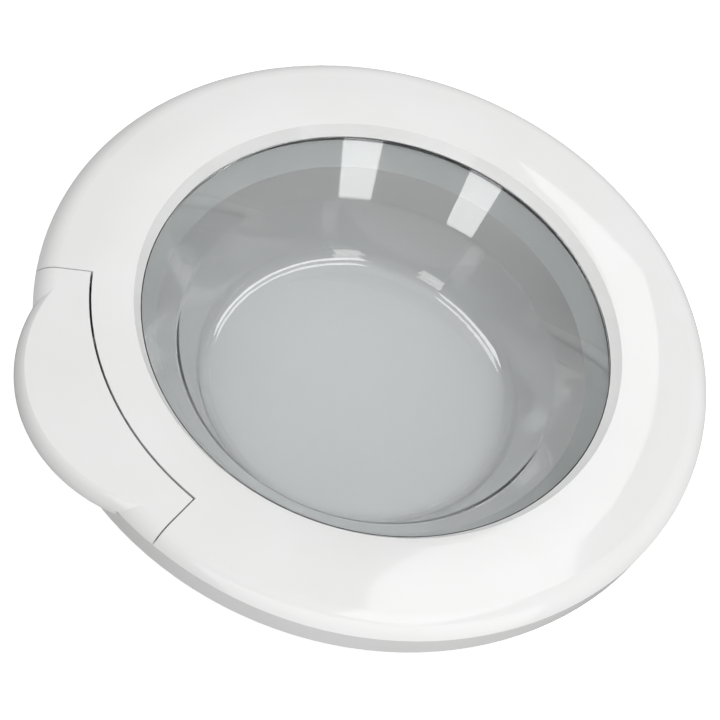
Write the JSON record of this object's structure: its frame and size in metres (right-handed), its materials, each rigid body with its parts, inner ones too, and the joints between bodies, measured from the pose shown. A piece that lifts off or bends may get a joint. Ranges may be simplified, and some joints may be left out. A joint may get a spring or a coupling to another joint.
{
  "type": "washing machine door",
  "caption": "Round washing machine door with a deep glass bowl, a white front ring, a pull handle that works a latch hook, and a side hinge.",
  "frame": {"origin": "centre of the glass bowl's flat outer base, on the door's axis", "axes": "+Z along the door's axis out of its front face, -X towards the handle, +X towards the hinge, +Y up when the door hangs on the machine"},
  "size_m": [0.4755, 0.45, 0.1041],
  "materials": {
    "white_gloss": "moulded ABS, glossy white",
    "rear_plastic": "moulded polypropylene, satin pale grey",
    "glass": "pressed soda-lime glass",
    "zinc_steel": "zinc-plated steel",
    "bright_steel": "drawn steel",
    "die_cast": "die-cast zinc alloy, as cast",
    "bush_plastic": "moulded acetal, natural"
  },
  "bodies": {
    "frame": {"outer_ring": "white_gloss", "inner_ring": "rear_plastic", "glass_bowl": "glass", "frame_screws": "zinc_steel", "handle_pin": "bright_steel", "latch_pin": "bright_steel", "latch_spring": "bright_steel", "hinge_leaf": "die_cast", "hinge_backplate": "zinc_steel", "hinge_screws": "zinc_steel", "hinge_pin_upper": "bright_steel", "hinge_pin_lower": "bright_steel"},
    "handle": {"handle": "white_gloss"},
    "latch": {"latch_hook": "die_cast"},
    "bracket": {"hinge_bracket": "die_cast", "hinge_bush_upper_outer": "bush_plastic", "hinge_bush_upper_inner": "bush_plastic", "hinge_bush_lower_outer": "bush_plastic", "hinge_bush_lower_inner": "bush_plastic"}
  },
  "joints": [
    {"name": "handle_pull", "type": "hinge", "parent": "frame", "child": "handle", "pos_m": [-0.1955, 0, 0.0973], "axis": [0, 1, 0], "range_deg": [0, 10]},
    {"name": "latch_swing", "type": "hinge", "parent": "frame", "child": "latch", "pos_m": [-0.192, 0, 0.0743], "axis": [0, 1, 0], "range_deg": [-9, 0], "stiffness_Nm_per_rad": 0.5, "springref_deg": 34.38, "deforming": ["latch_spring"]},
    {"name": "hinge_swing", "type": "hinge", "parent": "frame", "child": "bracket", "pos_m": [0.219, 0, 0.07], "axis": [0, -1, 0], "range_deg": [-90, 60]}
  ],
  "couplings": [
    {"joint": "latch_swing", "follows": "handle_pull", "ratio": -0.9}
  ]
}
